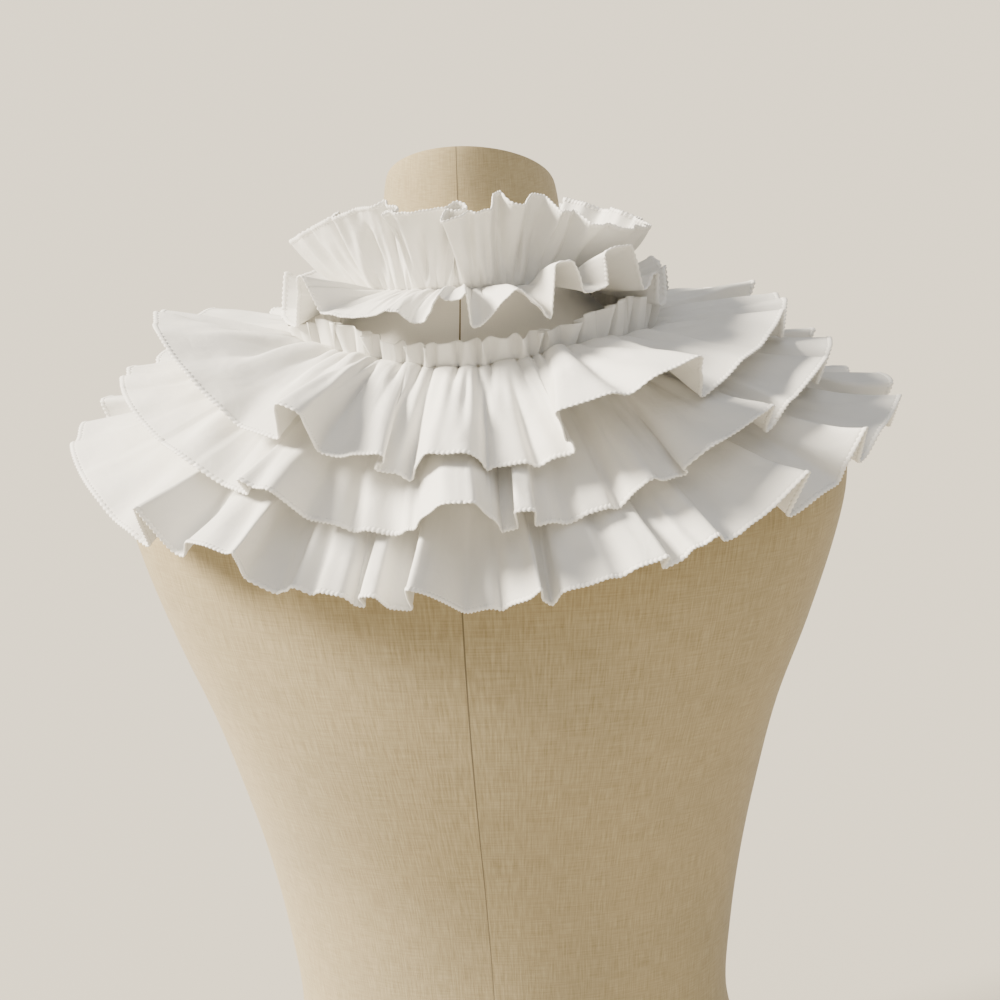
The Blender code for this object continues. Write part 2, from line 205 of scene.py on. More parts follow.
CHOKER_LOWER_FOLDS = [
    Fold(-100, -96, -88, -84, 15, 17, -5),
    Fold(-60, -49, -44.2, -42.6, 24, 31, 8),
    Fold(-30, -22, -15.3, -11.2, 11, 16, 6.5),
    Fold(-7.5, -2.8, -1.7, -0.8, 23, 28, 22.5),
    Fold(3.4, 4.6, 5.2, 5.8, 26, 28, 2),
    Fold(8.5, 17.3, 18.5, 28.6, 26, 26, 4),
    Fold(29.3, 27.3, 32.3, 38, 40, 39, 16.5),
    Fold(46.6, 42.4, 54, 64, 39, 37, 8),
    Fold(67, 70, 75, 74, 15, 14, -4),
    Fold(83, 86, 94, 98, 13, 12, -2),
    Fold(105, 107, 116, 120, 11, 12, 0),
    Fold(127, 129, 139, 143, 12, 13, 0),
    Fold(151, 153, 163, 167, 13, 12, 0),
    Fold(174, 176, 186, 190, 12, 13, 0),
    Fold(197, 199, 209, 213, 13, 12, 0),
    Fold(220, 222, 232, 236, 11, 12, 0),
    Fold(242, 244, 254, 257, 12, 11, 0),
]

# The small pleats that an elastic draws up have uneven widths, given as parts of one
# third of the ring. The neck frill and the top tier are one gathered cloth, so their
# pleats are the same ones.
PLEAT_PARTS = (9, 6, 12, 7, 5, 10, 8, 14, 6, 11, 7, 13, 6, 8, 10, 5, 12, 9, 6, 11)
PLEAT_THIRDS = 3

# A valley between pleats is this wide at the elastic, and wider by this part of its
# distance from there. The elastic pinches the pleats to a part of their height within
# its reach, and a wide pleat bulges past that height.
VALLEY_WIDTH = 0.9
VALLEY_SPREAD = 0.055
PINCHED_PART = 0.45
PINCH_REACH = 5.0
PLEAT_BULGE = 0.35

# For each strip: how deep these pleats are and which part of that stands above the
# strip, and how far the shortest and the longest of them run out before the cloth opens
# into its folds.
Pleats = namedtuple("Pleats", "height raised shortest longest")

TOP_TIER_PLEATS = Pleats(4.6, 1.0, 11, 62)
MIDDLE_TIER_PLEATS = Pleats(3.2, 0.3, 50, 130)
BOTTOM_TIER_PLEATS = Pleats(3.4, 0.8, 80, 170)
CHOKER_UPPER_PLEATS = Pleats(2.8, 0.9, 8, 38)
CHOKER_LOWER_PLEATS = Pleats(2.4, 0.1, 8, 38)

# Crumples over the whole cloth, and the wave of its overlocked hems.
CRUMPLE_DEPTH = 0.4
CRUMPLE_START = 20.0
HEM_RIPPLES = 47
HEM_RIPPLE_DEPTH = 0.7

# Soft creases, listed one by one: the turn they start at on the gathers, their drift
# along the hem, their half-width and depth, and the distances from the gathers that
# they start and end at. A negative depth is a ridge.
Crease = namedtuple("Crease", "turn drift width depth start end")

TOP_TIER_CREASES = [
    Crease(-80, 6, 5, 3.4, 10, 62),
    Crease(-71, -9, 3.6, -2.6, 22, 73),
    Crease(-60, 10, 5.8, 4.4, 6, 50),
    Crease(-45, 4, 3, 3, 18, 73),
    Crease(-36, -5, 4, -2.6, 8, 56),
    Crease(-29.5, 3, 1.8, 4.4, 6, 73),
    Crease(-24, 2, 1.6, 4, 5, 64),
    Crease(-19, -3, 2.4, -1.8, 8, 60),
    Crease(-15.4, 1, 1.5, 5.4, 8, 73),
    Crease(-8, 0, 1.9, 6.4, 8, 73),
    Crease(-2, 2, 2.2, -1.8, 8, 60),
    Crease(3.3, 0, 1.4, 3, 6, 60),
    Crease(7.6, 1, 1.6, 6, 7, 73),
    Crease(11, -1, 2, -1.6, 6, 50),
    Crease(15, 2, 1.6, 5, 8, 73),
    Crease(22, 2, 1.7, 4, 7, 66),
    Crease(32, 4, 2, 4.4, 8, 73),
    Crease(40, 6, 2.2, 4.2, 8, 73),
    Crease(47, 6, 3, -2.4, 12, 66),
    Crease(60, 6, 4.3, 3.2, 14, 73),
    Crease(70, -8, 5, 2.6, 8, 58),
    Crease(95, 6, 4.3, 3.2, 10, 66),
    Crease(127, -7, 5, 3.7, 8, 60),
    Crease(155, 5, 3.6, 2.9, 16, 73),
    Crease(178, -5, 4.3, 3.9, 8, 64),
    Crease(203, 7, 4.3, -3.1, 12, 70),
    Crease(228, -6, 3.6, 2.6, 8, 50),
    Crease(252, 8, 5, 3.4, 14, 73),
]

MIDDLE_TIER_CREASES = [
    Crease(-84, 6, 5, 4.1, 40, 96),
    Crease(-68, -8, 4.3, 4.6, 48, 96),
    Crease(-52, 7, 5.8, -4.1, 44, 90),
    Crease(-45, 5, 4, 3.4, 44, 96),
    Crease(-33, 3, 1.8, 4.4, 46, 96),
    Crease(-25, -4, 3.4, -2.6, 46, 92),
    Crease(-19, 2, 1.6, 5, 44, 96),
    Crease(-14.5, 2, 2.8, 3.6, 12, 96),
    Crease(-9, 1, 2.4, 6.6, 12, 96),
    Crease(-3, 2, 2.4, -2.2, 54, 92),
    Crease(3, 1, 2.6, 2.8, 54, 96),
    Crease(9.3, 0, 1.3, 5.4, 24, 96),
    Crease(15, 3, 3, 4, 12, 96),
    Crease(21, 1, 1.6, 5.8, 16, 96),
    Crease(27.5, 1, 1.4, 3.2, 40, 96),
    Crease(31, 2, 1.8, 2.6, 50, 96),
    Crease(36, 3, 2.6, -2.4, 50, 90),
    Crease(41, 3, 2, 5, 44, 96),
    Crease(52, 6, 5, 4.6, 50, 90),
    Crease(68, -6, 4.3, 3.8, 44, 96),
    Crease(92, 6, 5, 3.8, 50, 96),
    Crease(112, -6, 4.3, 4.3, 48, 96),
    Crease(136, 6, 3.6, -3.6, 56, 90),
    Crease(154, -5, 4.3, 4.1, 48, 96),
    Crease(175, 6, 4.3, 3.8, 52, 96),
    Crease(193, -6, 5, 4.3, 48, 90),
    Crease(216, 5, 3.6, 3.6, 56, 96),
    Crease(234, -4, 4.3, 3.4, 14, 96),
    Crease(257, 6, 4.3, 4.1, 48, 96),
]

BOTTOM_TIER_CREASES = [
    Crease(-88, 8, 6.5, 4.9, 60, 136),
    Crease(-74, -9, 5, -3.9, 72, 130),
    Crease(-64, 6, 5, 4.4, 70, 132),
    Crease(-56, 5, 4, 3.8, 70, 130),
    Crease(-47, -4, 4, -2.8, 72, 126),
    Crease(-39, 3, 1.8, 5.2, 72, 126),
    Crease(-30.5, 1, 1.7, 5.6, 74, 126),
    Crease(-24, 1, 1.5, 6, 72, 126),
    Crease(-18.3, 1, 1.3, 5, 74, 126),
    Crease(-13, 0, 2.4, -2.2, 80, 120),
    Crease(-7.5, 1, 1.5, 6.4, 72, 126),
    Crease(-2, 1, 2.2, -2, 80, 120),
    Crease(3, 0, 2.6, 6.4, 72, 118),
    Crease(7.4, 0, 1.2, 5.4, 74, 126),
    Crease(12, 1, 2.4, -2.2, 84, 124),
    Crease(16.7, 0, 1.2, 7, 72, 126),
    Crease(20.5, 1, 2.2, 2.4, 84, 120),
    Crease(24.7, 1, 1.7, 5.6, 40, 126),
    Crease(29.5, 1, 4.4, 5.6, 20, 126),
    Crease(37, 2, 1.8, 5.4, 74, 126),
    Crease(44, 3, 3, 3, 78, 126),
    Crease(52, 5, 4, 4.2, 76, 130),
    Crease(66, -7, 5, 4.2, 78, 132),
    Crease(83, 7, 5, 3.6, 80, 136),
    Crease(100, -6, 4.3, 3.9, 78, 130),
    Crease(129, 6, 4.3, 3.9, 80, 126),
    Crease(157, -6, 4.3, 3.6, 78, 126),
    Crease(187, 6, 4.3, -3.6, 80, 122),
    Crease(216, -6, 4.3, 3.9, 78, 126),
    Crease(244, 6, 5, 4.2, 80, 132),
]

CHOKER_CREASES = [
    Crease(-67, -4, 3.0, 3.9, 4, 50),
    Crease(-54, -2, 1.5, 4.6, 3, 53),
    Crease(-47, 2, 2, -2.2, 8, 46),
    Crease(-39, -2, 1.6, 3.4, 5, 46),
    Crease(-31, -2, 1.5, 5, 2, 53),
    Crease(-20.5, 1, 1.4, 5, 2, 53),
    Crease(-15.5, 1, 1.2, 3.6, 4, 44),
    Crease(-8.3, 1, 1.4, 4.8, 2, 53),
    Crease(-1, 2, 1.4, 2.6, 6, 44),
    Crease(7.8, 1, 1.4, 5, 2, 53),
    Crease(14, -1, 1.3, 2.8, 4, 40),
    Crease(22, -1, 1.5, 5.2, 2, 53),
    Crease(28, 1, 1.2, 3.4, 4, 46),
    Crease(39, 2, 1.5, 4.8, 2, 53),
    Crease(50, 4, 2.6, 3.6, 4, 48),
    Crease(66, -3, 2.4, 3.0, 4, 44),
    Crease(92, 3, 2.8, 3.3, 4, 50),
    Crease(121, -3, 2.6, 3.3, 3, 46),
    Crease(145, 3, 2.4, 3.0, 4, 50),
    Crease(169, -2, 2.6, 3.6, 3, 46),
    Crease(192, 3, 2.4, 3.0, 4, 50),
    Crease(214, -3, 2.6, 3.3, 3, 48),
    Crease(236, 2, 2.4, 3.3, 4, 44),
    Crease(259, -3, 2.6, 3.3, 3, 50),
]

# The tiers from the top one down, each with the columns and rows of its mesh.
Tier = namedtuple("Tier", "name strip folds pleats creases columns rows")

TIERS = [
    Tier(
        "capelet_top_tier", TOP_TIER, TOP_TIER_FOLDS, TOP_TIER_PLEATS, TOP_TIER_CREASES, 1100, 32
    ),
    Tier(
        "capelet_middle_tier", MIDDLE_TIER, MIDDLE_TIER_FOLDS, MIDDLE_TIER_PLEATS,
        MIDDLE_TIER_CREASES, 900, 36,
    ),
    Tier(
        "capelet_bottom_tier", BOTTOM_TIER, BOTTOM_TIER_FOLDS, BOTTOM_TIER_PLEATS,
        BOTTOM_TIER_CREASES, 1000, 42,
    ),
]
CHOKER_COLUMNS = 900
CHOKER_ROWS = 46
NECK_FRILL_COLUMNS = 1200
NECK_FRILL_ROWS = 12

# The form's level sections, from its underside up to the neck's cut. The back and front
# are depths from the middle, which lies forward by the last column.
Section = namedtuple("Section", "rise half_width back front squareness tilt forward")

FORM_SECTIONS = [
    Section(-520, 150, 102, 98, 2.2, 0, 0),
    Section(-480, 150, 104, 100, 2.2, 0, 0),
    Section(-440, 136, 96, 94, 2.2, 0, 0),
    Section(-400, 127, 90, 90, 2.2, 0, 0),
    Section(-350, 131, 90, 92, 2.2, 0, 0),
    Section(-300, 139, 96, 102, 2.2, 0, 0),
    Section(-250, 150, 107, 120, 2.3, 0, 0),
    Section(-205, 162, 115, 128, 2.4, 0, 0),
    Section(-160, 179, 119, 124, 2.4, 0, 0),
    Section(-115, 194, 118, 114, 2.4, 0, 0),
    Section(-84, 201, 113, 106, 2.4, 0, 0),
    Section(-66, 199, 107, 100, 2.3, 0, 0),
    Section(-52, 187, 101, 96, 2.25, 0, 0),
    Section(-38, 166, 95, 91, 2.2, 0, 0),
    Section(-24, 137, 88, 86, 2.1, 0, 0),
    Section(-13, 111, 80, 80, 2.0, 0, 0),
    Section(-4.2, 94.2, 75.2, 75.2, 2.0, 0, 0),
    Section(6, 79, 69, 69, 2.0, 3, 3),
    Section(16, 67, 64, 64, 2.0, 6, 6),
    Section(27, 59.0, 59.0, 59.0, 2.0, 10, 8),
    Section(52, 51, 54, 54, 2.0, 15, 12),
    Section(79, 46.5, 52, 52, 2.0, 27, 18),
    Section(81, 44.5, 50, 50, 2.0, 28, 18),
]
FORM_COLUMNS = 144
FORM_ROWS_PER_SECTION = 6

# The linen cover's width in metres, which gives its weave its scale.
COVER_WIDTH = 0.9

# The camera stands behind the form, a little to its right, and looks down on it.
CAMERA_TARGET = (15.0, -54.0, 442.0)
CAMERA_DISTANCE = 1180.0
CAMERA_TURN = 7.0
CAMERA_ELEVATION = 16.5
CAMERA_ROLL = 3.3
CAMERA_LENS = 79.2


def colour(hex_code):
    """Linear colour from an sRGB hex code."""
    parts = [int(hex_code[i : i + 2], 16) / 255 for i in (1, 3, 5)]
    linear = [c / 12.92 if c <= 0.04045 else ((c + 0.055) / 1.055) ** 2.4 for c in parts]
    return (*linear, 1.0)


def add_node(tree, kind, settings=None, **links):
    """Adds a node, sets its properties, and sets or links its inputs by name."""
    node = tree.nodes.new(kind)
    for key, value in (settings or {}).items():
        setattr(node, key, value)
    for key, value in links.items():
        numbered = key[0] == "i" and key[1:].isdigit()
        socket = node.inputs[int(key[1:]) if numbered else key.replace("_", " ")]
        if isinstance(value, bpy.types.NodeSocket):
            tree.links.new(value, socket)
        else:
            socket.default_value = value
    return node


def new_material(name, roughness):
    """A material with its node tree and its shader, which has this roughness."""
    material = bpy.data.materials.new(name)
    material.use_nodes = True
    tree = material.node_tree
    shader = tree.nodes["Principled BSDF"]
    shader.inputs["Roughness"].default_value = roughness
    return material, tree, shader


def cotton_poplin():
    """Bleached cotton poplin, plain-woven and lightly pressed. It is matt, bright and
    a little see-through, and shows faint crumples rather than single threads."""
    material, tree, shader = new_material("cotton poplin", 0.8)
    uv = add_node(tree, "ShaderNodeUVMap", {"uv_map": "cloth"})
    # Poplin has about 45 threads to the centimetre. Those would not show, so the weave
    # is drawn with threads 0.9 mm apart.
    weave_scale = 1000 / 0.9 / 20
    warp, weft = (
        add_node(
            tree, "ShaderNodeTexWave", {"bands_direction": direction}, Vector=uv.outputs["UV"],
            Scale=weave_scale, Distortion=0.6, Detail=1.0,
        )
        for direction in "XY"
    )
    weave = add_node(
        tree, "ShaderNodeMath", {"operation": "ADD"}, i0=warp.outputs["Fac"], i1=weft.outputs["Fac"]
    )
    # Crumples from washing are 8 to 30 mm across.
    crumple = add_node(
        tree, "ShaderNodeTexNoise", {"noise_dimensions": "2D"}, Vector=uv.outputs["UV"],
        Scale=55.0, Detail=3.0, Roughness=0.5, Distortion=0.4,
    )
    fine = add_node(tree, "ShaderNodeBump", Strength=0.10, Distance=0.0002, Height=weave.outputs[0])
    soft = add_node(
        tree, "ShaderNodeBump", Strength=0.4, Distance=0.0016, Height=crumple.outputs["Fac"],
        Normal=fine.outputs[0],
    )
    # The base colour is painted a little darker where the crumple bump is lowest: painted shade in
    # the crumples' hollows.
    crumple_painted_shade = add_node(
        tree, "ShaderNodeMix", {"data_type": "RGBA"}, i0=crumple.outputs["Fac"],
        i6=colour("#dddbd5"), i7=colour("#e7e5e0"),
    )
    tree.links.new(crumple_painted_shade.outputs[2], shader.inputs["Base Color"])
    tree.links.new(soft.outputs[0], shader.inputs["Normal"])
    shader.inputs["Specular IOR Level"].default_value = 0.25
    shader.inputs["Sheen Weight"].default_value = 0.03
    shader.inputs["Sheen Roughness"].default_value = 0.5
    return material


def overlock_thread():
    """Spun polyester overlock thread, whiter and a little glossier than the cloth."""
    material, _, shader = new_material("polyester overlock thread", 0.6)
    shader.inputs["Base Color"].default_value = colour("#e9e7e2")
    shader.inputs["Sheen Weight"].default_value = 0.1
    return material


def natural_linen():
    """Unbleached linen stretched over a padded form. Slubs show as short streaks along
    the threads, and the colour drifts slowly from straw to grey."""
    material, tree, shader = new_material("natural linen", 0.88)
    uv = add_node(tree, "ShaderNodeUVMap", {"uv_map": "cloth"})
    # The threads are 0.8 mm apart, and slubs are 10 to 30 mm long.
    slubs = []
    for scale in ((1250.0, 70.0, 1.0), (60.0, 1250.0, 1.0)):
        stretched = add_node(tree, "ShaderNodeMapping", Vector=uv.outputs["UV"], Scale=scale)
        slubs.append(
            add_node(
                tree, "ShaderNodeTexNoise", {"noise_dimensions": "2D"},
                Vector=stretched.outputs[0], Scale=1.0, Detail=3.0, Roughness=0.6,
            )
        )
    threads = add_node(
        tree, "ShaderNodeMix", {"data_type": "FLOAT"}, i0=0.38,
        i2=slubs[0].outputs["Fac"], i3=slubs[1].outputs["Fac"],
    )
    drift = add_node(
        tree, "ShaderNodeTexNoise", {"noise_dimensions": "2D"}, Vector=uv.outputs["UV"],
        Scale=14.0, Detail=2.0, Roughness=0.5,
    )
    ramp = add_node(tree, "ShaderNodeMapRange", Value=threads.outputs[0], i1=0.32, i2=0.68)
    cloth = add_node(
        tree, "ShaderNodeMix", {"data_type": "RGBA"}, i0=ramp.outputs[0],
        i6=colour("#948769"), i7=colour("#b4a788"),
    )
    aged = add_node(
        tree, "ShaderNodeMix", {"data_type": "RGBA", "blend_type": "MULTIPLY"}, i0=0.5,
        i6=cloth.outputs[2],
    )
    shade = add_node(
        tree, "ShaderNodeMix", {"data_type": "RGBA"}, i0=drift.outputs["Fac"],
        i6=colour("#d9d6cf"), i7=colour("#fff6e4"),
    )
    tree.links.new(shade.outputs[2], aged.inputs[7])
    # Round the neck's foot the linen is painted paler and greyer: painted light standing in for
    # light bounced onto it from the white cloth. V is the height in metres.
    height = add_node(tree, "ShaderNodeSeparateXYZ", Vector=uv.outputs["UV"])
    low = add_node(tree, "ShaderNodeMapRange", Value=height.outputs[1], i1=0.497, i2=0.516)
    high = add_node(tree, "ShaderNodeMapRange", Value=height.outputs[1], i1=0.592, i2=0.556)
    neck_bounce_band = add_node(
        tree, "ShaderNodeMath", {"operation": "MULTIPLY"}, i0=low.outputs[0], i1=high.outputs[0]
    )
    painted_bounce_light = add_node(
        tree, "ShaderNodeMix", {"data_type": "RGBA"}, i0=neck_bounce_band.outputs[0],
        i6=aged.outputs[2], i7=colour("#dcd9d2"),
    )
    # The centre-back seam is a sewn line about 1 mm wide, where the cover's edges meet.
    away = add_node(
        tree, "ShaderNodeMath", {"operation": "PINGPONG"}, i0=height.outputs[0], i1=COVER_WIDTH / 2
    )
    narrow = add_node(
        tree, "ShaderNodeMapRange", Value=height.outputs[1], i1=0.46, i2=0.53, i3=0.0002, i4=0.0009
    )
    seam = add_node(
        tree, "ShaderNodeMath", {"operation": "LESS_THAN"}, i0=away.outputs[0], i1=narrow.outputs[0]
    )
    sewn = add_node(
        tree, "ShaderNodeMix", {"data_type": "RGBA"}, i0=seam.outputs[0],
        i6=painted_bounce_light.outputs[2], i7=colour("#6d6350"),
    )
    tree.links.new(sewn.outputs[2], shader.inputs["Base Color"])
    bump = add_node(
        tree, "ShaderNodeBump", Strength=0.35, Distance=0.0005, Height=threads.outputs[0]
    )
    tree.links.new(bump.outputs[0], shader.inputs["Normal"])
    shader.inputs["Specular IOR Level"].default_value = 0.2
    shader.inputs["Sheen Weight"].default_value = 0.15
    return material


def pale_floor_paint():
    """Matt paint put on with a roller, a warm grey that takes soft shadows."""
    material, _, shader = new_material("matt floor paint", 0.95)
    shader.inputs["Base Color"].default_value = colour("#b3aea3")
    return material


def add_piece(name, bm, material):
    """Makes a piece from a finished bmesh, riding with the body."""
    mesh = bpy.data.meshes.new(name)
    bm.to_mesh(mesh)
    bm.free()
    mesh.materials.append(material)
    mesh.shade_smooth()
    piece = bpy.data.objects.new(name, mesh)
    bpy.context.scene.collection.objects.link(piece)
    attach(piece, "root")
    return piece


def capelet_seam(rise):
    """The capelet's gathering line and its swell, as a function of the turns."""

    def points(turn):
        x = NECK_HALF_WIDTH * np.sin(turn)
        y = -NECK_HALF_DEPTH * np.cos(turn)
        swell = np.where(np.cos(turn) > 0, NECK_SWELL * np.sin(2 * turn) ** 2, 0)
        return x, y, np.full_like(x, COLLAR_LEVEL + rise), swell

    return points


def choker_seam(turn):
    """The choker's elastic line, which has no swell."""
    back = CHOKER_RADIUS * np.cos(turn)
    z = COLLAR_LEVEL + CHOKER_RISE + back * math.tan(math.radians(CHOKER_TILT))
    return CHOKER_RADIUS * np.sin(turn), CHOKER_FORWARD - back, z, np.zeros_like(z)


def slopes_at(strip, turn):
    """A strip's slopes at the gathers and at the hem, in radians, at these turns."""
    toward_back = np.clip(np.cos(turn), 0, 1) ** strip.turning
    toward_front = np.clip(-np.cos(turn), 0, 1) ** strip.turning
    toward_side = 1 - toward_back - toward_front
    pair = []
    for back, side, front in zip(strip.back, strip.side, strip.front):
        pair.append(np.radians(toward_back * back + toward_side * side + toward_front * front))
    return pair


def cloth_points(strip, seam, turn, share, lift):
    """Points of a strip, share of the way from its gathers to its hem, and lifted."""
    first, last = slopes_at(strip, turn)
    length = strip.length + strip.side_extra * np.sin(turn) ** 2
    bend = (last - first) / length
    slope = first + (last - first) * share
    out = (np.sin(slope) - np.sin(first)) / bend + lift * np.sin(slope)
    drop = (np.cos(first) - np.cos(slope)) / bend - lift * np.cos(slope)
    x, y, z, swell = seam(turn)
    z = z + swell * (1 - share * length / SWELL_REACH) - drop
    return np.stack([x + np.sin(turn) * out, y - np.cos(turn) * out, z], axis=1) * MM


def rounded_fold(corners, before, after, rounding):
    """Points round a fold's corners, each bent along a curve."""
    points = []
    for one, corner, other in zip([before] + corners, corners, corners[1:] + [after]):
        ends = []
        for neighbour in (one, other):
            away = math.dist(corner, neighbour)
            part = min(rounding, away * 0.48) / away
            ends.append([c + (n - c) * part for c, n in zip(corner, neighbour)])
        for step in range(ROUNDING_STEPS):
            t = step / (ROUNDING_STEPS - 1)
            weights = ((1 - t) ** 2, 2 * t * (1 - t), t * t)
            trio = (ends[0], corner, ends[1])
            points.append([sum(w * p[i] for w, p in zip(weights, trio)) for i in (0, 1)])
    return points


def hem_path(folds, seam_radius, length, rounding):
    """A hem all the way round, as arrays of run along it, gather turn, hem turn and
    lift. The cloth of each fold is spread evenly along its own share of the gathers."""
    per_degree = math.radians(seam_radius + length * 0.9)
    full = 360 * per_degree
    corners, floors = [], []
    floor = folds[-1].floor
    for fold in folds:
        floors.append(floor)
        corners.append(
            [
                [fold.rise * per_degree, floor],
                [fold.start * per_degree, fold.lift_start],
                [fold.end * per_degree, fold.lift_end],
                [fold.fall * per_degree, fold.floor],
            ]
        )
        floor = fold.floor
    bounds = []
    for i, fold in enumerate(folds):
        earlier = folds[i - 1].fall - (0 if i else 360)
        bounds.append(min((earlier + fold.rise) / 2, fold.rise))
    bounds.append(bounds[0] + 360)
    runs, gathers, alongs, lifts = [], [], [], []
    run = 0.0
    for i, four in enumerate(corners):
        before = corners[i - 1][3]
        after = corners[(i + 1) % len(folds)][0]
        before = [before[0] - (0 if i else full), before[1]]
        after = [after[0] + (full if i == len(folds) - 1 else 0), after[1]]
        inner = rounded_fold(four, before, after, rounding)
        path = [[bounds[i] * per_degree, floors[i]]] + inner
        path.append([bounds[i + 1] * per_degree, folds[i].floor])
        steps = [0.0] + [math.dist(a, b) for a, b in zip(path, path[1:])]
        here = np.cumsum(steps)
        last = -1 if i < len(folds) - 1 else None
        runs += list(run + here)[:last]
        gathers += list(bounds[i] + (bounds[i + 1] - bounds[i]) * here / here[-1])[:last]
        alongs += [p[0] for p in path][:last]
        lifts += [p[1] for p in path][:last]
        run += here[-1]
    return np.array(runs), np.array(gathers), np.array(alongs) / per_degree, np.array(lifts)


def matched_path(path, leader):
    """The path measured by its leader's run, so that both share their gathers."""
    _, gathers, hems, lifts = path
    runs = np.linspace(0, leader[0][-1], MATCHED_STEPS)
    wanted = np.interp(runs, leader[0], leader[1])
    wrapped = gathers[0] + (wanted - gathers[0]) % 360
    hems = np.interp(wrapped, gathers, hems) + wanted - wrapped
    return runs, wanted, hems, np.interp(wrapped, gathers, lifts)


def pleat_place(gather):
    """Which pleat a turn on the gathers lies in, and how far it is from that pleat's
    nearer end, in degrees."""
    parts = np.array(PLEAT_PARTS * PLEAT_THIRDS, float)
    ends = np.concatenate([[0.0], np.cumsum(parts)]) / parts.sum()
    phase = np.interp(gather / 360 % 1, ends, np.arange(len(ends)))
    number = np.clip(np.floor(phase), 0, len(parts) - 1).astype(int)
    part = phase - number
    wide = parts[number] / parts.sum() * 360
    return number, part, np.minimum(part, 1 - part) * wide


def pleat_lift(pleats, gather, distance, per_degree):
    """The height of the small pleats: full crests with narrow valleys between, which
    the elastic pinches and which widen and fade on their way out."""
    number, part, away = pleat_place(gather)
    varied = 0.5 + 0.5 * np.sin(number * 2.6 + 1.0)
    reach = pleats.shortest + (pleats.longest - pleats.shortest) * varied**2
    height = pleats.height * (0.75 + 0.25 * np.sin(number * 4.1))
    narrow = VALLEY_WIDTH + VALLEY_SPREAD * distance
    valley = np.exp(-((away * per_degree / narrow) ** 1.5))
    pinched = 1 - (1 - PINCHED_PART) * np.exp(-((distance / PINCH_REACH) ** 2))
    bulge = PLEAT_BULGE * np.sin(np.pi * part) ** 2
    fade = np.exp(-((distance / reach) ** 1.6))
    return height * (pleats.raised + bulge - valley) * pinched * fade


def crease_lift(creases, gather, distance, per_degree, whole):
    """The troughs and ridges of the listed creases. One that ends past the whole length
    of the strip runs out at its hem, and others fade at both ends."""
    lift = np.zeros_like(distance)
    for crease in creases:
        part = np.clip((distance - crease.start) / (crease.end - crease.start), 0, 1)
        across = (gather - crease.turn + 180) % 360 - 180
        across = across * per_degree - crease.drift * part
        window = np.sin(np.pi * part**0.8)
        if crease.end >= whole:
            window = np.sin(np.pi / 2 * part)
        lift -= crease.depth * np.exp(-((across / crease.width) ** 2)) * window
    return lift


def crumple_lift(around, distance):
    """Slow soft unevenness that starts a little way out from the gathers."""
    a = around * 2 * math.pi
    wave = np.sin(37 * a + distance / 9.0) * np.cos(23 * a - distance / 14.0)
    wave += 0.8 * np.sin(61 * a - distance / 6.5 + 1.1) * np.sin(17 * a + distance / 21.0)
    return CRUMPLE_DEPTH * wave * np.clip(distance / CRUMPLE_START, 0, 1)


def hem_ripple(around, share):
    """The slight wave that overlocking stretches into a hem."""
    a = around * 2 * math.pi
    wave = np.sin(HEM_RIPPLES * a + 1.5 * np.sin(6 * a)) * (0.6 + 0.4 * np.sin(19 * a + 0.7))
    return HEM_RIPPLE_DEPTH * wave * share**5


def strip_shape(strip, seam, path, seam_radius, pleats, creases, side=1.0):
    """A function from (around, share) to points, for one gathered strip. Side is -1
    where the outside of the cloth faces down the lift."""
    runs, gathers, hems, lifts = path
    hem_radius = seam_radius + strip.length

    def shape(around, share):
        run = around * runs[-1]
        gather = np.interp(run, runs, gathers)
        hem = np.interp(run, runs, hems)
        lift = np.interp(run, runs, lifts) * share**strip.fullness
        here = seam_radius + strip.length * share
        spread = (share * hem_radius / here) ** SPREAD_POWER
        turn = np.radians(gather + (hem - gather) * spread)
        distance = share * strip.length
        per_degree = math.radians(seam_radius)
        extra = pleat_lift(pleats, gather, distance, per_degree)
        extra = extra + crease_lift(creases, gather, distance, per_degree, strip.length * 0.9)
        extra = extra + crumple_lift(around, distance) + hem_ripple(around, share)
        return cloth_points(strip, seam, turn, share, lift + side * extra)

    return shape


def cloth_wall(name, shape, columns, rows, size, hem_distance, material):
    """A closed ring of cloth over a grid. Size is the cut in millimetres, and
    hem_distance gives the second UV, the distance from the hem, from the share."""
    bm = bmesh.new()
    bmesh.ops.create_grid(bm, x_segments=columns, y_segments=rows, size=0.5)
    flat = np.array([v.co for v in bm.verts]) + 0.5
    places = shape(flat[:, 0], flat[:, 1])
    layer = bm.loops.layers.uv.new("cloth")
    along = flat[:, 0] * size[0] * MM
    across = hem_distance(flat[:, 1]) * MM
    bm.verts.index_update()
    for face in bm.faces:
        for loop in face.loops:
            i = loop.vert.index
            loop[layer].uv = (along[i], across[i])
    for vert, place in zip(bm.verts, places):
        vert.co = place
    bmesh.ops.remove_doubles(bm, verts=bm.verts, dist=0.00002)
    bmesh.ops.recalc_face_normals(bm, faces=bm.faces)
    piece = add_piece(name, bm, material)
    wall = piece.modifiers.new("Thickness", "SOLIDIFY")
    wall.thickness = POPLIN_THICKNESS * MM
    wall.offset = 0.0
    return piece


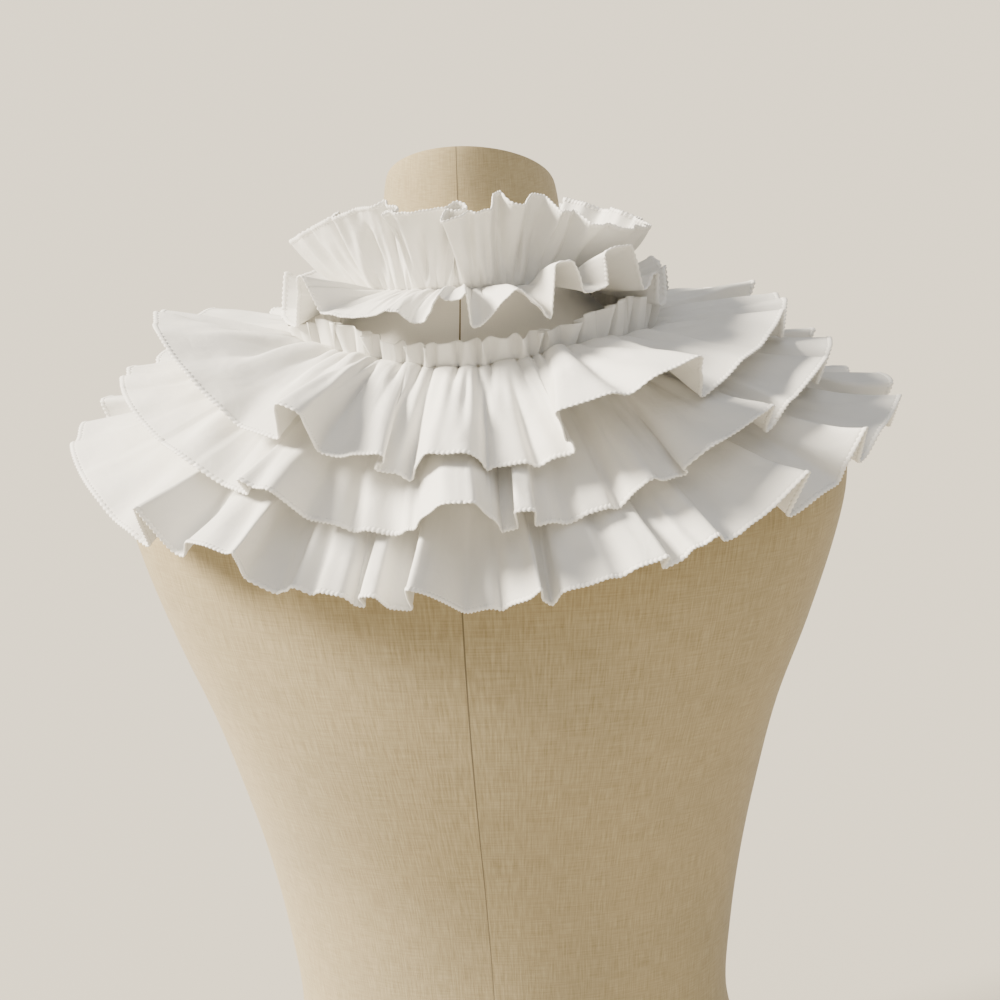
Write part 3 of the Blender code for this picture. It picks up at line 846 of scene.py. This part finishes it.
def overlocked_edge(name, shape, run, share, inward, material):
    """The thread wrapped over a raw edge, as a flat ribbed band about 3 mm wide. Inward
    is the small step of share that leads into the cloth."""
    rings = round(run / THREAD_STEP)
    bm = bmesh.new()
    bmesh.ops.create_grid(bm, x_segments=rings, y_segments=THREAD_SIDES, size=0.5)
    flat = np.array([v.co for v in bm.verts]) + 0.5
    around, turn = flat[:, 0], flat[:, 1] * 2 * math.pi
    full = np.full_like(around, share)
    edge = shape(around, full)
    cloth = shape(around, full + inward) - edge
    cloth /= np.linalg.norm(cloth, axis=1)[:, None]
    step = 0.5 / rings
    along = shape((around + step) % 1, full) - shape((around - step) % 1, full)
    along /= np.linalg.norm(along, axis=1)[:, None]
    face = np.cross(along, cloth)
    face /= np.linalg.norm(face, axis=1)[:, None]
    stitches = round(run / STITCH_PITCH)
    rib = np.cos(2 * math.pi * stitches * around + 1.1 * np.cos(turn))
    across = EDGE_INWARD - (EDGE_WIDTH + EDGE_WIDTH_RIB * rib) * np.cos(turn)
    through = (EDGE_THICKNESS + EDGE_THICKNESS_RIB * rib) * np.sin(turn)
    offset = across[:, None] * cloth + through[:, None] * face
    for vert, place in zip(bm.verts, edge + offset * MM):
        vert.co = place
    bmesh.ops.remove_doubles(bm, verts=bm.verts, dist=0.00001)
    bmesh.ops.recalc_face_normals(bm, faces=bm.faces)
    return add_piece(name, bm, material)


def make_tier(tier, place, cotton, thread):
    """One gathered tier of the capelet with its overlocked hem. Place counts the tiers
    down from the top one, 0."""
    name, strip = tier.name, tier.strip
    seam = capelet_seam(-TIER_STEP * place)
    path = hem_path(tier.folds, NECK_RADIUS, strip.length, TIER_ROUNDING)
    shape = strip_shape(strip, seam, path, NECK_RADIUS, tier.pleats, tier.creases)
    run = path[0][-1]
    cloth = cloth_wall(
        f"{name}_cloth", shape, tier.columns, tier.rows, (run, strip.length),
        lambda share: (1 - share) * strip.length, cotton,
    )
    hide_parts(name)
    hem = overlocked_edge(f"{name}_overlock", shape, run, 1.0, -0.01, thread)


def make_choker(cotton, thread):
    """The choker's one strip: a short frill below its elastic and a tall one above."""
    upper_path = hem_path(CHOKER_UPPER_FOLDS, CHOKER_RADIUS, CHOKER_UPPER.length, CHOKER_ROUNDING)
    lower_path = hem_path(CHOKER_LOWER_FOLDS, CHOKER_RADIUS, CHOKER_LOWER.length, CHOKER_ROUNDING)
    lower_path = matched_path(lower_path, upper_path)
    upper = strip_shape(
        CHOKER_UPPER, choker_seam, upper_path, CHOKER_RADIUS, CHOKER_UPPER_PLEATS,
        CHOKER_CREASES, -1.0,
    )
    lower = strip_shape(
        CHOKER_LOWER, choker_seam, lower_path, CHOKER_RADIUS, CHOKER_LOWER_PLEATS, []
    )
    width = CHOKER_UPPER.length + CHOKER_LOWER.length
    split = CHOKER_LOWER.length / width

    def shape(around, across):
        below = across < split
        share = np.where(below, (split - across) / split, (across - split) / (1 - split))
        return np.where(below[:, None], lower(around, share), upper(around, share))

    def hem_distance(across):
        return np.minimum(across, 1 - across) * width

    run = upper_path[0][-1]
    choker = cloth_wall(
        "choker_cloth", shape, CHOKER_COLUMNS, CHOKER_ROWS, (run, width), hem_distance, cotton
    )
    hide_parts("choker_ruffle")
    top = overlocked_edge("choker_top_overlock", shape, run, 1.0, -0.01, thread)
    bottom = overlocked_edge("choker_bottom_overlock", shape, run, 0.0, 0.01, thread)


def make_neck_frill(cotton):
    """The header that stands in small uneven pleats above the capelet's elastic."""

    # Each pleat sways, folds over, stands out and rises in its own way, by its number.
    def shape(around, share):
        number, part, away = pleat_place(around * 360)
        sway = NECK_FRILL_SWAY * np.sin(number * 3.3) * np.sin(np.pi * part) ** 2
        a = around * 2 * math.pi
        grown = 0.45 + 0.55 * share**0.7
        folded = 1.2 + 0.9 * np.sin(number * 3.9)
        folded = folded * np.sin(2 * np.pi * part) * share**0.7
        turn = np.radians(around * 360 + folded + sway * share)
        crest = 1 - np.exp(-((away / NECK_FRILL_VALLEY) ** 2))
        depth = NECK_FRILL_DEPTH * (0.75 + 0.3 * np.sin(number * 2.3 + 0.5)) * crest
        out = NECK_FRILL_LEAN * share + (depth - NECK_FRILL_INSET) * grown
        peak = FRILL_PEAK * np.exp(-(((around * 360 - FRILL_PEAK_TURN) / FRILL_PEAK_SPREAD) ** 2))
        uneven = 1.3 * np.sin(7 * a + 0.4) + 2.0 * np.sin(number * 5.7) * crest
        top = NECK_FRILL_HEIGHT + peak + uneven
        x, y, z, swell = capelet_seam(0)(turn)
        z = z + swell + NECK_FRILL_BOTTOM + share * top
        return np.stack([x + np.sin(turn) * out, y - np.cos(turn) * out, z], axis=1) * MM

    ring = math.pi * (NECK_HALF_WIDTH + NECK_HALF_DEPTH)
    frill = cloth_wall(
        "neck_frill_cloth", shape, NECK_FRILL_COLUMNS, NECK_FRILL_ROWS,
        (ring * FRILL_RUN_PART, NECK_FRILL_HEIGHT),
        lambda share: (1 - share) * NECK_FRILL_HEIGHT, cotton,
    )
    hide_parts("neck_frill")


def form_outline():
    """The form's section table with smooth rows between, from the underside up."""
    table = np.array(FORM_SECTIONS, float)
    padded = np.vstack([2 * table[0] - table[1], table, 2 * table[-1] - table[-2]])
    rows = []
    for i in range(1, len(padded) - 2):
        p0, p1, p2, p3 = padded[i - 1 : i + 3]
        for step in range(FORM_ROWS_PER_SECTION):
            t = step / FORM_ROWS_PER_SECTION
            lead = (p2 - p0) / 2 * t * (1 - t) ** 2
            trail = (p3 - p1) / 2 * t * t * (t - 1)
            rows.append(p1 * (1 + 2 * t) * (1 - t) ** 2 + p2 * t * t * (3 - 2 * t) + lead + trail)
    rows.append(table[-1])
    return np.array(rows)


def make_dress_form(linen):
    """The padded form under its linen cover."""
    outline = form_outline()
    bm = bmesh.new()
    bmesh.ops.create_grid(bm, x_segments=FORM_COLUMNS, y_segments=len(outline) - 1, size=0.5)
    flat = np.array([v.co for v in bm.verts]) + 0.5
    level = np.rint(flat[:, 1] * (len(outline) - 1)).astype(int)
    rise, half_width, back, front, squareness, tilt, forward = outline[level].T
    turn = flat[:, 0] * 2 * math.pi
    sine, cosine = np.sin(turn), np.cos(turn)
    power = 2 / squareness
    x = half_width * np.sign(sine) * np.abs(sine) ** power
    y = forward - np.where(cosine > 0, back, front) * np.sign(cosine) * np.abs(cosine) ** power
    z = COLLAR_LEVEL + rise + np.tan(np.radians(tilt)) * (forward - y)
    places = np.stack([x, y, z], axis=1) * MM
    layer = bm.loops.layers.uv.new("cloth")
    bm.verts.index_update()
    for face in bm.faces:
        for loop in face.loops:
            i = loop.vert.index
            loop[layer].uv = (flat[i, 0] * COVER_WIDTH, z[i] * MM)
    for vert, place in zip(bm.verts, places):
        vert.co = place
    bmesh.ops.remove_doubles(bm, verts=bm.verts, dist=0.00001)
    rim = [edge for edge in bm.edges if edge.is_boundary]
    bmesh.ops.holes_fill(bm, edges=rim, sides=0)
    bmesh.ops.recalc_face_normals(bm, faces=bm.faces)
    form = add_piece("dress_form_cover", bm, linen)
    form.data.set_sharp_from_angle(angle=math.radians(40))
    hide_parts("dress_form")


def make_floor():
    bm = bmesh.new()
    bmesh.ops.create_grid(bm, x_segments=1, y_segments=1, size=20.0)
    mesh = bpy.data.meshes.new("floor")
    bm.to_mesh(mesh)
    bm.free()
    mesh.materials.append(pale_floor_paint())
    floor = bpy.data.objects.new("floor", mesh)
    bpy.context.scene.collection.objects.link(floor)


def looking_back(turn, elevation, roll, target, distance):
    """The matrix of something that looks at the target from behind the form."""
    a, e, r = (math.radians(v) for v in (turn, elevation, roll))
    back = Vector((math.sin(a) * math.cos(e), -math.cos(a) * math.cos(e), math.sin(e)))
    right = Vector((math.cos(a), math.sin(a), 0))
    up = back.cross(right)
    tilted_right = math.cos(r) * right - math.sin(r) * up
    tilted_up = math.sin(r) * right + math.cos(r) * up
    place = (Vector(target) + back * distance) * MM
    matrix = Matrix((tilted_right, tilted_up, back)).transposed().to_4x4()
    matrix.translation = place
    return matrix


def make_camera():
    lens = bpy.data.cameras.new("camera")
    lens.lens = CAMERA_LENS
    lens.sensor_width = 36
    camera = bpy.data.objects.new("camera", lens)
    camera.matrix_world = looking_back(
        CAMERA_TURN, CAMERA_ELEVATION, CAMERA_ROLL, CAMERA_TARGET, CAMERA_DISTANCE
    )
    bpy.context.scene.collection.objects.link(camera)
    bpy.context.scene.camera = camera


def add_sun(name, turn, elevation, spread, strength, tint):
    """Even light from one side, softened by its spread in degrees."""
    light = bpy.data.lights.new(name, "SUN")
    light.angle = math.radians(spread)
    light.energy = strength
    light.color = colour(tint)[:3]
    lamp = bpy.data.objects.new(name, light)
    lamp.matrix_world = looking_back(turn, elevation, 0, (0, 0, 450), 2500)
    bpy.context.scene.collection.objects.link(lamp)


def make_lights():
    world = bpy.data.worlds.new("studio")
    world.use_nodes = True
    bpy.context.scene.world = world
    sky = world.node_tree.nodes["Background"]
    sky.inputs["Color"].default_value = colour("#f1efe9")
    sky.inputs["Strength"].default_value = 0.6
    # A strong low light from the left, as from a window, and a weak one from above.
    add_sun("window", -82, 36, 18, 17.5, "#fff4e0")
    add_sun("room", 20, 60, 60, 0.7, "#eef2ff")


def main():
    cotton = cotton_poplin()
    thread = overlock_thread()
    make_dress_form(natural_linen())
    make_neck_frill(cotton)
    for place, tier in enumerate(TIERS):
        make_tier(tier, place, cotton, thread)
    make_choker(cotton, thread)
    make_floor()
    make_camera()
    make_lights()


main()
